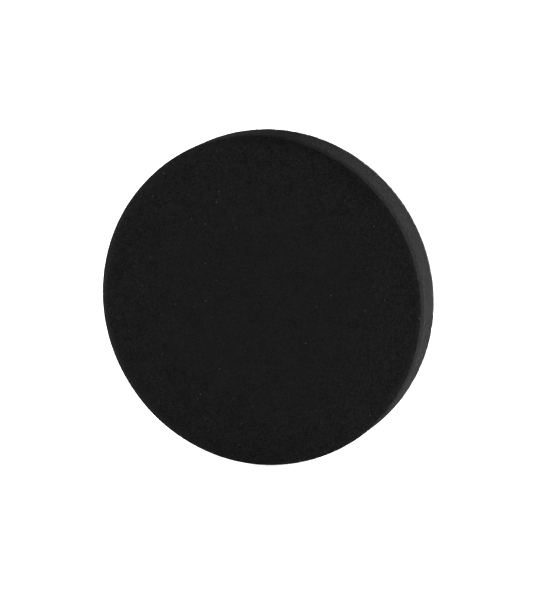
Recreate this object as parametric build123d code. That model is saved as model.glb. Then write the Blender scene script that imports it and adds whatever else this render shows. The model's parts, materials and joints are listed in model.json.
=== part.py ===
from build123d import *

import os

# A flat round foam polishing pad, standing upright on its rim.
# It is a laminate of four full-diameter layers, bonded flat and die-cut together.
# The disc axis is Y: the working face looks along -Y, the loop backing along +Y.
# The origin is the centre of the loop face, where the polisher's hook plate grips the pad.
# Depths are measured from the loop face towards the working face, so y is minus the depth.

# Driving dimensions, mm
PAD_DIAMETER = 150.0
PAD_THICKNESS = 22.0

# The backing, from the loop face forwards
PILE_THICKNESS = 1.4
GROUND_THICKNESS = 0.5
FILM_THICKNESS = 0.2

# The front edge of the foam: a narrow band where the side wall draws in, and a rounded corner
BAND_WIDTH = 4.2
BAND_INSET = 0.5
FACE_EDGE_RADIUS = 0.7

PAD_RADIUS = PAD_DIAMETER / 2
FACE_RADIUS = PAD_RADIUS - BAND_INSET

GROUND_DEPTH = PILE_THICKNESS
FILM_DEPTH = GROUND_DEPTH + GROUND_THICKNESS
FOAM_DEPTH = FILM_DEPTH + FILM_THICKNESS

PARTS_FOLDER = "parts"


def backing_layer(depth, thickness):
    """One full-diameter layer, from the given depth forwards."""
    return extrude(Plane.XZ.offset(depth) * Circle(PAD_RADIUS), thickness)


def loop_pile():
    """The standing pile loops, as the plain layer that they fill."""
    return backing_layer(0, PILE_THICKNESS)


def loop_ground():
    """The knitted ground cloth that the pile loops are knitted into."""
    return backing_layer(GROUND_DEPTH, GROUND_THICKNESS)


def adhesive_film():
    """The hot-melt film that bonds the loop cloth to the foam."""
    return backing_layer(FILM_DEPTH, FILM_THICKNESS)


def foam_disc():
    """The polyurethane foam: half its section, turned about the disc axis."""
    outline = Polyline(
        (0, -FOAM_DEPTH),
        (PAD_RADIUS, -FOAM_DEPTH),
        (PAD_RADIUS, BAND_WIDTH - PAD_THICKNESS),
        (FACE_RADIUS, -PAD_THICKNESS),
        (0, -PAD_THICKNESS),
        close=True,
    )
    section = make_face(outline)
    face_edge = section.vertices().sort_by_distance((FACE_RADIUS, -PAD_THICKNESS, 0))[0]
    section = fillet(face_edge, FACE_EDGE_RADIUS)
    return revolve(section, Axis.Y)


PIECES = {
    "foam_disc": foam_disc,
    "adhesive_film": adhesive_film,
    "loop_ground": loop_ground,
    "loop_pile": loop_pile,
}

os.makedirs(PARTS_FOLDER, exist_ok=True)
for name, make in PIECES.items():
    export_step(make(), os.path.join(PARTS_FOLDER, name + ".step"))
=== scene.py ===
import json
import math
import random
from itertools import chain

import bpy
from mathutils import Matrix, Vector, noise

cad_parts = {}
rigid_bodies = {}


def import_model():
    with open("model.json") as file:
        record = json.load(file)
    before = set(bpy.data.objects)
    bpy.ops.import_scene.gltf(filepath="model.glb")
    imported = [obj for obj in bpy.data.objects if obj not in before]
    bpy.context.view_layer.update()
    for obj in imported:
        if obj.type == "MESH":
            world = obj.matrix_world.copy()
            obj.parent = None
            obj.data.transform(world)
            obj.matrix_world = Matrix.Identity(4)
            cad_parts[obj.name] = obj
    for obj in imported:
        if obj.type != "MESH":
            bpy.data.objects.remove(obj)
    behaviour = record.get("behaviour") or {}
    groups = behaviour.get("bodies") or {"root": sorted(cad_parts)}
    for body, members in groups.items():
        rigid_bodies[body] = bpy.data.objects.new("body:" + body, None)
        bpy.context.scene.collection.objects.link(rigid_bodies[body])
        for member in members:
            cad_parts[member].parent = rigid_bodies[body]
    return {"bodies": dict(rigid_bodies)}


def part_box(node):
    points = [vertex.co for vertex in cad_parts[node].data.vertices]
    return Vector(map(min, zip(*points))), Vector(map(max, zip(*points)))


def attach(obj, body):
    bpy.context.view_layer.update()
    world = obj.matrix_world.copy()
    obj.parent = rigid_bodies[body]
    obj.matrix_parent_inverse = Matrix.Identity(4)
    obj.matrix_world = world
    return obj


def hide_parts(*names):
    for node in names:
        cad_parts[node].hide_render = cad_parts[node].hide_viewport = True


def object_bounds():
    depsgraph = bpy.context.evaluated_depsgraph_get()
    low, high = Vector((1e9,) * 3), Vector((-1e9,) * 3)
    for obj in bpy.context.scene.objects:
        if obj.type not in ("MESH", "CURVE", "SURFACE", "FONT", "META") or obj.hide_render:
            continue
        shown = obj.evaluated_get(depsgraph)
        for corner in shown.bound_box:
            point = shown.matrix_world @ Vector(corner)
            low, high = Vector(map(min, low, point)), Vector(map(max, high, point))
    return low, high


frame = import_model()
cad_low, cad_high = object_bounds()

# Lengths are in metres. The pad stands on its rim: its axis is Y, the working face looks along -Y
# and the loop backing along +Y. "Depth" is the distance from the loop face towards the face.
# The whole pad is one body.
MM = 0.001
(BODY,) = frame["bodies"]

PAD_RADIUS = (cad_high.x - cad_low.x) / 2
FACE_DEPTH = -cad_low.y
FLOOR_Z = cad_low.z
FOAM_BACK_DEPTH = -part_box("foam_disc")[1].y
FILM_BACK_DEPTH = -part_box("adhesive_film")[1].y
GROUND_BACK_DEPTH = -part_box("loop_ground")[1].y
PILE_HEIGHT = GROUND_BACK_DEPTH

# The foam's side wall draws in over a narrow band at its front, and then turns a rounded corner
BAND_WIDTH = 4.2 * MM
BAND_INSET = 0.5 * MM
EDGE_ROUND = 0.35 * MM
CORNER_RADIUS = PAD_RADIUS - BAND_INSET - EDGE_ROUND


# ---------------------------------------------------------------- camera and light

CAMERA_AZIMUTH = 17.7
CAMERA_ELEVATION = 10.8
CAMERA_DISTANCE = 22 * PAD_RADIUS
CAMERA_LENS_MM = 223.2
CAMERA_SENSOR_MM = 36.0
# The picture's middle is this far right of the pad's middle, and above it
AIM_RIGHT = 0.0102 * PAD_RADIUS
AIM_UP = 0.0057 * PAD_RADIUS


def direction(azimuth, elevation):
    """The unit vector from the pad towards a place round it; azimuth 0 is in front of the face."""
    a, e = math.radians(azimuth), math.radians(elevation)
    return Vector((math.sin(a) * math.cos(e), -math.cos(a) * math.cos(e), math.sin(e)))


def make_camera():
    centre = Vector((0, -FACE_DEPTH / 2, 0))
    back = direction(CAMERA_AZIMUTH, CAMERA_ELEVATION)
    turn = (-back).to_track_quat("-Z", "Y")
    aim = centre + turn @ Vector((AIM_RIGHT, AIM_UP, 0))
    data = bpy.data.cameras.new("camera")
    data.lens = CAMERA_LENS_MM
    data.sensor_width = CAMERA_SENSOR_MM
    camera = bpy.data.objects.new("camera", data)
    camera.location = aim + back * CAMERA_DISTANCE
    camera.rotation_mode = "QUATERNION"
    camera.rotation_quaternion = turn
    bpy.context.scene.collection.objects.link(camera)
    bpy.context.scene.camera = camera


# name: azimuth, elevation and angular width in degrees, and strength in watts per square metre
FAR_LIGHTS = {
    "right": (109, 5, 26, 18.4),
    "upper_right": (105, 40, 30, 3.2),
    "left": (-93, 5, 16, 21.0),
    "left_behind": (-108, 5, 16, 16.0),
    "behind": (180, 10, 40, 0.8),
}

# The strip light lies just above the table; its power is in watts
STRIP_PLACE = Vector((125 * MM, -FACE_DEPTH / 2, FLOOR_Z + 3 * MM))
STRIP_AIM = Vector((64 * MM, -FACE_DEPTH / 2, -40 * MM))
STRIP_SIZE = (60 * MM, 20 * MM)
STRIP_POWER = 0.11

# The dome's strength near the horizon and above, and the sines of the elevations it fades between
DOME_LOW, DOME_HIGH = 1.05, 0.0
DOME_FROM, DOME_TO = 0.15, 0.45


def add_light(name, kind, towards):
    """A light turned so that the pad sees it in the given direction."""
    light = bpy.data.objects.new(name, bpy.data.lights.new(name, kind))
    light.rotation_mode = "QUATERNION"
    light.rotation_quaternion = towards.to_track_quat("Z", "Y")
    bpy.context.scene.collection.objects.link(light)
    return light


def make_far_lights():
    """Wide soft lights far away, for the side walls and the rounded edge."""
    for name, (azimuth, elevation, width, strength) in FAR_LIGHTS.items():
        light = add_light(name, "SUN", direction(azimuth, elevation))
        light.data.angle = math.radians(width)
        light.data.energy = strength


def make_strip_light():
    """A small strip light on the table, just right of the pad, that lights its side wall from below."""
    light = add_light("low_right", "AREA", STRIP_PLACE - STRIP_AIM)
    light.data.shape = "RECTANGLE"
    light.data.size, light.data.size_y = STRIP_SIZE
    light.data.energy = STRIP_POWER
    light.location = STRIP_PLACE
    light.visible_camera = False


def make_dome():
    """A sky that is white near the horizon and black above."""
    world = bpy.data.worlds.new("studio")
    world.use_nodes = True
    tree = world.node_tree
    place = tree.nodes.new("ShaderNodeTexCoord")
    parts = tree.nodes.new("ShaderNodeSeparateXYZ")
    fade = tree.nodes.new("ShaderNodeMapRange")
    fade.interpolation_type = "SMOOTHSTEP"
    fade.inputs["From Min"].default_value = DOME_FROM
    fade.inputs["From Max"].default_value = DOME_TO
    fade.inputs["To Min"].default_value = DOME_LOW
    fade.inputs["To Max"].default_value = DOME_HIGH
    tree.links.new(place.outputs["Generated"], parts.inputs["Vector"])
    tree.links.new(parts.outputs["Z"], fade.inputs["Value"])
    tree.nodes["Background"].inputs["Color"].default_value = (1, 1, 1, 1)
    tree.links.new(fade.outputs["Result"], tree.nodes["Background"].inputs["Strength"])
    bpy.context.scene.world = world


def make_lights():
    make_far_lights()
    make_strip_light()
    make_dome()
    bpy.context.scene.view_settings.view_transform = "Standard"


# ---------------------------------------------------------------- material helpers

# Soft noise runs from 0 to 1, but hardly ever goes beyond these
NOISE_LOW, NOISE_HIGH = 0.3, 0.7
# The scale at which a wave texture's ridges are one metre apart
WAVE_SCALE = math.pi / 10


class Nodes:
    """One material's node tree, with the few steps that every material here is made of."""

    def __init__(self, name):
        self.material = bpy.data.materials.new(name)
        self.material.use_nodes = True
        self.tree = self.material.node_tree
        self.shader = self.tree.nodes["Principled BSDF"]
        self.place = self.tree.nodes.new("ShaderNodeTexCoord").outputs["Object"]

    def add(self, kind, settings=None, **inputs):
        """A node of that kind, its inputs set to a value or linked from a socket."""
        node = self.tree.nodes.new(kind)
        for key, value in (settings or {}).items():
            setattr(node, key, value)
        for key, value in inputs.items():
            self.put(node.inputs[key.replace("_", " ")], value)
        return node

    def put(self, socket, value):
        if isinstance(value, bpy.types.NodeSocket):
            self.tree.links.new(value, socket)
        else:
            socket.default_value = value

    def noise(self, size, detail=2.0, roughness=0.5):
        """Soft noise whose blotches are about size across."""
        made = self.add(
            "ShaderNodeTexNoise", Vector=self.place, Scale=1 / size, Detail=detail, Roughness=roughness
        )
        return made.outputs["Fac"]

    def spread(self, soft, start, end):
        """Soft noise, taken from its usual range to start to end."""
        return self.ramp(soft, NOISE_LOW, NOISE_HIGH, start, end)

    def stirred(self, size, reach):
        """The place, shifted by soft noise by up to twice reach, to make what is drawn there uneven."""
        wander = self.add("ShaderNodeTexNoise", Vector=self.place, Scale=1 / size, Detail=1.0)
        moved = self.add("ShaderNodeVectorMath", {"operation": "MULTIPLY_ADD"})
        self.put(moved.inputs[0], wander.outputs["Color"])
        self.put(moved.inputs[1], (2 * reach, 2 * reach, 2 * reach))
        self.put(moved.inputs[2], self.place)
        return moved.outputs["Vector"]

    def cells(self, size, where):
        """Cells about size across: the distance from each one's middle, and its own random number."""
        made = self.add("ShaderNodeTexVoronoi", Vector=where, Scale=1 / size)
        number = self.add("ShaderNodeSeparateColor", Color=made.outputs["Color"])
        return made.outputs["Distance"], number.outputs["Red"]

    def ridges(self, axis, pitch, distortion):
        """Ridges side by side along an axis, pitch apart, that waver by distortion."""
        made = self.add(
            "ShaderNodeTexWave",
            {"bands_direction": axis},
            Vector=self.place,
            Scale=WAVE_SCALE / pitch,
            Distortion=distortion,
        )
        return made.outputs["Fac"]

    def radius(self):
        """The distance from the disc axis."""
        flat = self.add("ShaderNodeVectorMath", {"operation": "MULTIPLY"})
        self.put(flat.inputs[0], self.place)
        self.put(flat.inputs[1], (1.0, 0.0, 1.0))
        length = self.add("ShaderNodeVectorMath", {"operation": "LENGTH"}, Vector=flat.outputs["Vector"])
        return length.outputs["Value"]

    def depth(self):
        """The distance from the loop face."""
        parts = self.add("ShaderNodeSeparateXYZ", Vector=self.place)
        return self.maths("MULTIPLY", parts.outputs["Y"], -1.0)

    def ramp(self, value, low, high, start, end):
        """value from low to high, taken to start to end, and held beyond."""
        made = self.add("ShaderNodeMapRange", {"interpolation_type": "SMOOTHSTEP"}, Value=value)
        for key, number in zip(("From Min", "From Max", "To Min", "To Max"), (low, high, start, end)):
            made.inputs[key].default_value = number
        return made.outputs["Result"]

    def maths(self, operation, a, b):
        made = self.tree.nodes.new("ShaderNodeMath")
        made.operation = operation
        self.put(made.inputs[0], a)
        self.put(made.inputs[1], b)
        return made.outputs["Value"]

    def times(self, *values):
        result = values[0]
        for value in values[1:]:
            result = self.maths("MULTIPLY", result, value)
        return result

    def grey(self, value):
        made = self.add("ShaderNodeCombineColor", Red=value, Green=value, Blue=value)
        return made.outputs["Color"]

    def bump(self, height, distance):
        """Relief that stands distance high where height is 1."""
        made = self.add("ShaderNodeBump", Height=height, Distance=distance, Strength=1.0)
        self.put(self.shader.inputs["Normal"], made.outputs["Normal"])

    def surface(self, **inputs):
        for key, value in inputs.items():
            self.put(self.shader.inputs[key.replace("_", " ")], value)


# ---------------------------------------------------------------- foam's look

# The foam's grey, and what it is multiplied by from strut to pore in the coarse and the fine cells.
# A stir is the size and the reach of the noise that makes cells uneven.
FOAM_GREY = 0.0073
CELL = 0.5 * MM
CELL_TONES = (1.22, 0.6)
FINE_CELL = 0.27 * MM
FINE_CELL_TONES = (1.08, 0.8)
CELL_STIR = (0.5 * MM, 0.12 * MM)
# A pore's radius, as a share of its cell, from the smallest pore to the largest
PORE_SHARES = (0.22, 0.62)
# A pore is darkest out to the first share of its radius, and ends at the second
PORE_FADE = (0.5, 1.15)
MOTTLE_SIZE = 9 * MM
MOTTLE_TONES = (0.96, 1.04)

# The grain's contrast grows between two shares of the pad's radius, and is stronger on the wall
GRAIN = 0.62 * MM
GRAIN_FROM, GRAIN_TO = 0.4, 0.95
GRAIN_MIDDLE, GRAIN_RIM = 0.21, 0.47
SIDE_GRAIN = 0.6

# Dust and painted glints: a few cells hold a speck, and their random numbers set how bright each speck
# is
SPECK_CELL = 1.3 * MM
SPECK_STIR = (0.4 * MM, 0.25 * MM)
SPECK_NUMBERS = (0.965, 0.997)
SPECK_BRIGHT = 9.0
SPECK_EDGE = (0.08, 0.24)

# The side wall starts between these distances from the rim, and its front band is painted darker, as
# painted shade
SIDE_FROM, SIDE_TO = 1.0 * MM, 0.6 * MM
BAND_PAINTED_SHADE = 0.27
BAND_BLUR = 0.15 * MM
FOAM_RELIEF = 0.03 * MM


def foam_pores(m, size, where):
    """1 inside pores of uneven size, and 0 on the struts between them."""
    distance, number = m.cells(size, where)
    reach = m.ramp(number, 0.0, 1.0, *PORE_SHARES)
    return m.ramp(m.maths("DIVIDE", distance, reach), *PORE_FADE, 1.0, 0.0)


def foam_contrast(m, on_side):
    """How strong the grain is."""
    start, end = GRAIN_FROM * PAD_RADIUS, GRAIN_TO * PAD_RADIUS
    contrast = m.ramp(m.radius(), start, end, GRAIN_MIDDLE, GRAIN_RIM)
    return m.times(contrast, m.maths("ADD", 1.0, m.times(on_side, SIDE_GRAIN)))


def foam_dust_and_glints(m):
    """The brightness of the dust specks and painted glints, as a multiple of the foam's grey."""
    from_middle, number = m.cells(SPECK_CELL, m.stirred(*SPECK_STIR))
    bright = m.ramp(number, *SPECK_NUMBERS, 0.0, SPECK_BRIGHT)
    return m.times(bright, m.ramp(from_middle, *SPECK_EDGE, 1.0, 0.0))


def foam_band_painted_shade(m, on_side):
    """How much painted shade darkens the band round the front of the side wall."""
    start = FACE_DEPTH - BAND_WIDTH
    return m.times(on_side, m.ramp(m.depth(), start - BAND_BLUR, start + BAND_BLUR, 0.0, BAND_PAINTED_SHADE))


def foam_material():
    """Black foam: uneven pores between struts, a grain that is stronger towards the rim, pale specks
    of dust and painted glints, and painted shade on a band round the front of the side wall."""
    m = Nodes("black_foam")
    where = m.stirred(*CELL_STIR)
    coarse = foam_pores(m, CELL, where)
    fine = foam_pores(m, FINE_CELL, where)
    on_side = m.ramp(m.radius(), PAD_RADIUS - SIDE_FROM, PAD_RADIUS - SIDE_TO, 0.0, 1.0)
    blotch = m.spread(m.noise(GRAIN, detail=3.0, roughness=0.6), -1.0, 1.0)
    colour = m.times(
        FOAM_GREY,
        m.ramp(coarse, 0.0, 1.0, *CELL_TONES),
        m.ramp(fine, 0.0, 1.0, *FINE_CELL_TONES),
        m.spread(m.noise(MOTTLE_SIZE, detail=3.0), *MOTTLE_TONES),
        m.maths("ADD", 1.0, m.times(blotch, foam_contrast(m, on_side))),
        # painted shade: the front band of the side wall is darkened in the colour
        m.maths("SUBTRACT", 1.0, foam_band_painted_shade(m, on_side)),
    )
    m.surface(
        # pale specks: dust, and painted glints standing in for the foam's highlights
        Base_Color=m.grey(m.maths("ADD", colour, m.times(foam_dust_and_glints(m), FOAM_GREY))),
        Roughness=m.ramp(coarse, 0.0, 1.0, 0.9, 1.0),
        Specular_IOR_Level=0.0,
    )
    m.bump(m.maths("SUBTRACT", blotch, m.maths("ADD", coarse, fine)), FOAM_RELIEF)
    return m.material


# ---------------------------------------------------------------- the backing's look

FILM_GREYS = (0.006, 0.01)
FILM_RELIEF = 0.03 * MM
WALE = 1.3 * MM
COURSE = 0.7 * WALE
FIBRE = 0.25 * MM
FIBRE_TONES = (0.8, 1.2)
STITCH_GREYS = (0.004, 0.014)
STITCH_RELIEF = 0.15 * MM
YARN_GREYS = (0.007, 0.014)


def film_material():
    """Black hot-melt film, smooth where it was cut."""
    m = Nodes("hot_melt_film")
    m.surface(
        Base_Color=m.grey(m.spread(m.noise(size=2 * MM), *FILM_GREYS)),
        Roughness=m.spread(m.noise(size=0.8 * MM), 0.5, 0.7),
        Specular_IOR_Level=0.15,
    )
    m.bump(m.noise(size=0.6 * MM), FILM_RELIEF)
    return m.material


def ground_material():
    """Warp-knitted nylon: wales side by side, crossed by courses, with fibres over both."""
    m = Nodes("knitted_ground")
    wales = m.ridges("X", WALE, distortion=1.5)
    courses = m.ridges("Z", COURSE, distortion=2.0)
    stitches = m.times(wales, courses)
    fibres = m.noise(FIBRE, detail=3.0)
    colour = m.times(m.ramp(stitches, 0.0, 0.8, *STITCH_GREYS), m.spread(fibres, *FIBRE_TONES))
    m.surface(
        Base_Color=m.grey(colour),
        Roughness=m.spread(fibres, 0.95, 0.8),
        Specular_IOR_Level=0.08,
        Sheen_Weight=0.04,
    )
    m.bump(m.maths("ADD", stitches, fibres), STITCH_RELIEF)
    return m.material


def yarn_material():
    """Brushed nylon pile yarn, with a soft sheen."""
    m = Nodes("pile_yarn")
    m.surface(
        Base_Color=m.grey(m.spread(m.noise(size=0.9 * MM, detail=3.0), *YARN_GREYS)),
        Roughness=m.spread(m.noise(size=0.4 * MM), 0.55, 0.75),
        Specular_IOR_Level=0.08,
        Sheen_Weight=0.03,
        Sheen_Roughness=0.4,
    )
    return m.material


# ---------------------------------------------------------------- turned pieces

# A fine net's rings are about NET_STEP apart, and each has SECTORS more points than the one inside
# it. A coarse net, for a hidden side, has far fewer rings and stops COARSE_INSET short of the rim.
SECTORS = 6
NET_STEP = 0.62 * MM
NET_MARGIN = 1.4 * MM
NET_RINGS = round((PAD_RADIUS - NET_MARGIN) / NET_STEP)
RIM_COUNT = SECTORS * NET_RINGS
COARSENESS = 7
COARSE_RINGS = NET_RINGS // COARSENESS
COARSE_INSET = 4 * MM
# A point this close to a depth lies at it
TOUCHING = 0.01 * MM


def net_rings(count, radius, depth):
    """Rings (radius, depth, count) from the centre out to radius, with SECTORS more points on each,
    so that triangles stay even. depth is a function of the radius."""
    rings = [(0.0, depth(0.0), 1)]
    for k in range(1, count + 1):
        r = radius * k / count
        rings.append((r, depth(r), SECTORS * k))
    return rings


def coarse_rings(radius, depth):
    """The rings of a flat coarse net, for a side of a layer of the given radius."""
    return net_rings(COARSE_RINGS, radius - COARSE_INSET, lambda r: depth)


def next_share(step, ring):
    """How far round the ring its next point is, as a share of a turn; never, when it has no more."""
    if len(ring) == 1 or step == len(ring):
        return math.inf
    return (step + 1) / len(ring)


def stitched(a, b):
    """The triangles between two rings, each a range of point numbers in the same turning order."""
    faces = []
    i = j = 0
    while True:
        next_a, next_b = next_share(i, a), next_share(j, b)
        if next_a == next_b == math.inf:
            return faces
        here_a, here_b = a[i % len(a)], b[j % len(b)]
        if next_b <= next_a:
            faces.append((here_a, here_b, b[(j + 1) % len(b)]))
            j += 1
        else:
            faces.append((here_a, here_b, a[(i + 1) % len(a)]))
            i += 1


def turned(rings, shape):
    """The points and faces of a closed body of rings (radius, depth, count), from the middle of its
    front to the middle of its back. shape moves each point: it gets its place and its outward normal."""
    points, faces, last = [], [], None
    for k, (r, d, count) in enumerate(rings):
        before, after = rings[max(k - 1, 0)], rings[min(k + 1, len(rings) - 1)]
        out, back = before[1] - after[1], after[0] - before[0]
        length = math.hypot(out, back)
        start = len(points)
        for n in range(count):
            turn = 2 * math.pi * n / count
            ray = Vector((math.cos(turn), 0, math.sin(turn)))
            normal = ray * (out / length) - Vector((0, back / length, 0))
            points.append(shape(ray * r - Vector((0, d, 0)), normal))
        ring = range(start, start + count)
        if last is not None:
            faces += stitched(last, ring)
        last = ring
    return points, faces


def mesh_piece(name, points, faces, material):
    mesh = bpy.data.meshes.new(name)
    mesh.from_pydata(points, [], faces)
    mesh.materials.append(material)
    mesh.shade_smooth()
    piece = bpy.data.objects.new(name, mesh)
    bpy.context.scene.collection.objects.link(piece)
    return piece


# ---------------------------------------------------------------- foam

EDGE_STEPS = 4
BAND_STEPS = 5
# The face rolls off by ROLL_DROP at its corner, and by less and less further in
ROLL_WIDTH = 1.6 * MM
ROLL_DROP = 0.85 * MM
# Open pores about PORE apart, each a dip whose radius is PORE_SHARE of that
PORE = 1.7 * MM
PORE_DEEP = 0.09 * MM
PORE_SHARE = 0.45
# Fine lumps, and a slow unevenness of the whole slab
LUMP = 0.04 * MM
LUMP_SIZE = 0.9 * MM
SAG = 0.12 * MM
SAG_SIZE = 30 * MM


def face_depth(r):
    """The face is flat, and rolls off softly towards its rounded corner."""
    return FACE_DEPTH - ROLL_DROP * math.exp(-(CORNER_RADIUS - r) / ROLL_WIDTH)


def evenly(start, end, steps):
    """The points from start to end in even steps, without start itself."""
    shares = [step / steps for step in range(1, steps + 1)]
    return [tuple(a + (b - a) * share for a, b in zip(start, end)) for share in shares]


def foam_outline():
    """Radius and depth down the rim: the rounded corner, the drawn-in band and the side wall."""
    corner_depth = face_depth(CORNER_RADIUS) - EDGE_ROUND
    cone = math.atan(BAND_INSET / BAND_WIDTH)
    outline = []
    for step in range(1, EDGE_STEPS + 1):
        turn = (math.pi / 2 - cone) * step / EDGE_STEPS
        r = CORNER_RADIUS + EDGE_ROUND * math.sin(turn)
        outline.append((r, corner_depth + EDGE_ROUND * math.cos(turn)))
    band_end = (PAD_RADIUS, FACE_DEPTH - BAND_WIDTH)
    wall_end = (PAD_RADIUS, FOAM_BACK_DEPTH)
    wall_steps = round((band_end[1] - wall_end[1]) / NET_STEP)
    outline += evenly(outline[-1], band_end, BAND_STEPS)
    outline += evenly(band_end, wall_end, wall_steps)
    return outline


def pored(place, normal):
    """Cut foam: open pores a little below the surface, fine lumps, and a slow unevenness."""
    pore = noise.voronoi(place / PORE)[0][0]
    dip = -PORE_DEEP * max(0.0, 1 - pore / PORE_SHARE)
    lump = LUMP * noise.noise(place / LUMP_SIZE)
    sag = SAG * noise.noise(place / SAG_SIZE)
    return place + normal * (dip + lump + sag)


def foam_piece():
    rings = net_rings(NET_RINGS, CORNER_RADIUS, face_depth)
    rings += [(r, depth, RIM_COUNT) for r, depth in foam_outline()]
    rings += reversed(coarse_rings(PAD_RADIUS, FOAM_BACK_DEPTH))

    def shape(place, normal):
        hidden = -place.y < FOAM_BACK_DEPTH + TOUCHING
        return place if hidden else pored(place, normal)

    points, faces = turned(rings, shape)
    piece = mesh_piece("foam_pad", points, faces, foam_material())
    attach(piece, BODY)
    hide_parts("foam_disc")


# ---------------------------------------------------------------- backing

FILM_INSET = 0.08 * MM
GROUND_INSET = 0.05 * MM
KNIT_RELIEF = 0.06 * MM
KNIT_COURSE = 1.3 * WALE


def flat_layer(front, back, radius, fine_back):
    """The rings of one full-diameter layer, its back with a fine net or a coarse one."""
    rings = coarse_rings(radius, front) + [(radius, front, RIM_COUNT)]
    if fine_back:
        behind = net_rings(NET_RINGS, radius, lambda r: back)
    else:
        behind = coarse_rings(radius, back) + [(radius, back, RIM_COUNT)]
    return rings + list(reversed(behind))


def film_piece():
    rings = flat_layer(FOAM_BACK_DEPTH, FILM_BACK_DEPTH, PAD_RADIUS - FILM_INSET, fine_back=False)
    points, faces = turned(rings, lambda place, normal: place)
    piece = mesh_piece("adhesive_film_sheet", points, faces, film_material())
    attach(piece, BODY)
    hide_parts("adhesive_film")
    return piece


def ground_piece():
    rings = flat_layer(FILM_BACK_DEPTH, GROUND_BACK_DEPTH, PAD_RADIUS - GROUND_INSET, fine_back=True)

    def knit(place, normal):
        """The back's relief of wales and courses, none of it proud of the cloth's back."""
        if -place.y > GROUND_BACK_DEPTH + TOUCHING:
            return place
        wale = math.cos(2 * math.pi * place.x / WALE)
        course = math.cos(2 * math.pi * place.z / KNIT_COURSE)
        return place + normal * (KNIT_RELIEF * (wale + course - 2))

    points, faces = turned(rings, knit)
    piece = mesh_piece("loop_ground_cloth", points, faces, ground_material())
    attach(piece, BODY)
    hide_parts("loop_ground")
    return piece


PILE_SEED = 7
PILE_SETS = 4
YARN_SIDES = 3
YARN_RADIUS = 0.13 * MM
YARN_VARIETY = (0.8, 1.25)
# An odd direction, which hardly any yarn runs along, to turn each ring of a yarn from
YARN_UP = Vector((0.31, 0.2, 0.93))

# One loop: half its width, how much it may fall short, how it bulges, and its lean to the side and down
LOOP_STEPS = 6
LOOP_HALF_WIDTH = (0.35 * MM, 0.6 * MM)
LOOP_SHORTFALL = 0.28
LOOP_SWELL = 0.45
LEAN_SPREAD = 0.35 * MM
LEAN_DOWN = -0.25 * MM

# Loops stand in staggered rows over the cloth, and closer and straighter round the rim
LOOP_PITCH = 1.2 * MM
LOOP_SCATTER = 0.12 * MM
RIM_LOOP_PITCH = 0.45 * MM
RIM_LOOP_INSETS = (0.22 * MM, 0.62 * MM)
RIM_LOOSENESS = 0.3
RIM_TWIST = 0.3


def loop_points(foot, heading, looseness, draw):
    """The middle line of one pile loop: up from its foot, over and down, leaning its own way."""
    along = Vector((math.cos(heading), 0, math.sin(heading)))
    lean = Vector((draw.gauss(0, LEAN_SPREAD), 0, draw.gauss(LEAN_DOWN, LEAN_SPREAD))) * looseness
    half = draw.uniform(*LOOP_HALF_WIDTH)
    height = PILE_HEIGHT * (1 - draw.uniform(0, LOOP_SHORTFALL) * looseness) - YARN_RADIUS
    line = []
    for step in range(LOOP_STEPS + 1):
        turn = math.pi * step / LOOP_STEPS
        rise = math.sin(turn)
        swell = 1 + LOOP_SWELL * rise
        place = foot + along * (half * swell * math.cos(turn)) + lean * rise ** 2
        out = math.hypot(place.x, place.z) / (PAD_RADIUS - YARN_RADIUS)
        place /= max(1.0, out)
        place.y = foot.y + height * rise
        line.append(place)
    return line


def tube(line, radius, points, faces):
    """Adds a closed yarn along the line to points and faces."""
    start = len(points)
    for k, place in enumerate(line):
        ahead = (line[min(k + 1, len(line) - 1)] - line[max(k - 1, 0)]).normalized()
        side = ahead.cross(YARN_UP).normalized()
        other = ahead.cross(side)
        for n in range(YARN_SIDES):
            turn = 2 * math.pi * n / YARN_SIDES
            points.append(place + (side * math.cos(turn) + other * math.sin(turn)) * radius)
    for k in range(len(line) - 1):
        for n in range(YARN_SIDES):
            a = start + k * YARN_SIDES + n
            b = start + k * YARN_SIDES + (n + 1) % YARN_SIDES
            faces.append((a, b, b + YARN_SIDES, a + YARN_SIDES))
    faces.append(tuple(range(start + YARN_SIDES - 1, start - 1, -1)))
    faces.append(tuple(range(len(points) - YARN_SIDES, len(points))))


def cloth_feet(draw):
    """The foot, heading and looseness of each loop in the staggered rows."""
    row_height = LOOP_PITCH * math.sqrt(3) / 2
    reach = PAD_RADIUS - LOOP_PITCH / 2
    rows = math.ceil(reach / row_height)
    for row in range(-rows, rows + 1):
        for column in range(-rows, rows + 1):
            x = (column + 0.5 * (row % 2)) * LOOP_PITCH + draw.gauss(0, LOOP_SCATTER)
            z = row * row_height + draw.gauss(0, LOOP_SCATTER)
            if math.hypot(x, z) < reach:
                yield Vector((x, -GROUND_BACK_DEPTH, z)), draw.uniform(0, math.pi), 1.0


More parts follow.
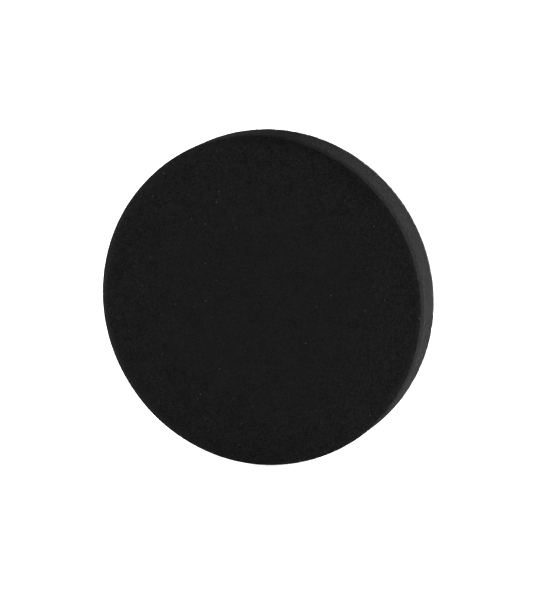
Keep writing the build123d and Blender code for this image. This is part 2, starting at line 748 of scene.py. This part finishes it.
def rim_feet(draw):
    """The foot, heading and looseness of each upright loop in the close rows round the rim."""
    count = round(2 * math.pi * PAD_RADIUS / RIM_LOOP_PITCH)
    for inset in RIM_LOOP_INSETS:
        for n in range(count):
            turn = 2 * math.pi * (n + draw.uniform(0, 1)) / count
            ray = Vector((math.cos(turn), 0, math.sin(turn)))
            foot = ray * (PAD_RADIUS - inset) - Vector((0, GROUND_BACK_DEPTH, 0))
            yield foot, turn + math.pi / 2 + draw.gauss(0, RIM_TWIST), RIM_LOOSENESS


def pile_pieces():
    """All the pile loops, dealt out in turn to PILE_SETS pieces."""
    draw = random.Random(PILE_SEED)
    sets = [([], []) for _ in range(PILE_SETS)]
    for dealt, (foot, heading, looseness) in enumerate(chain(cloth_feet(draw), rim_feet(draw))):
        points, faces = sets[dealt % PILE_SETS]
        line = loop_points(foot, heading, looseness, draw)
        tube(line, YARN_RADIUS * draw.uniform(*YARN_VARIETY), points, faces)
    material = yarn_material()
    pieces = []
    for number, (points, faces) in enumerate(sets, 1):
        piece = mesh_piece(f"loop_pile_yarn_{number}", points, faces, material)
        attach(piece, BODY)
        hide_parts("loop_pile")
        pieces.append(piece)
    return pieces


# ---------------------------------------------------------------- floor

FLOOR_REACH = 12.0
FLOOR_MOTTLE = 0.4
FLOOR_GREYS = (0.58, 0.62)
FLOOR_GLOW = 0.74


def make_floor():
    """A pale table that the pad stands on. It glows, so that no shadow shows on it."""
    m = Nodes("pale_floor")
    m.surface(
        Base_Color=m.grey(m.spread(m.noise(FLOOR_MOTTLE), *FLOOR_GREYS)),
        Roughness=0.9,
        Specular_IOR_Level=0.1,
        Emission_Color=(1, 1, 1, 1),
        Emission_Strength=FLOOR_GLOW,
    )
    corners = [(-FLOOR_REACH, -FLOOR_REACH), (FLOOR_REACH, -FLOOR_REACH)]
    corners += [(FLOOR_REACH, FLOOR_REACH), (-FLOOR_REACH, FLOOR_REACH)]
    floor = mesh_piece("floor", [(x, y, FLOOR_Z) for x, y in corners], [(0, 1, 2, 3)], m.material)


make_camera()
make_lights()
make_floor()
foam_piece()
film = film_piece()
ground = ground_piece()
pile = pile_pieces()
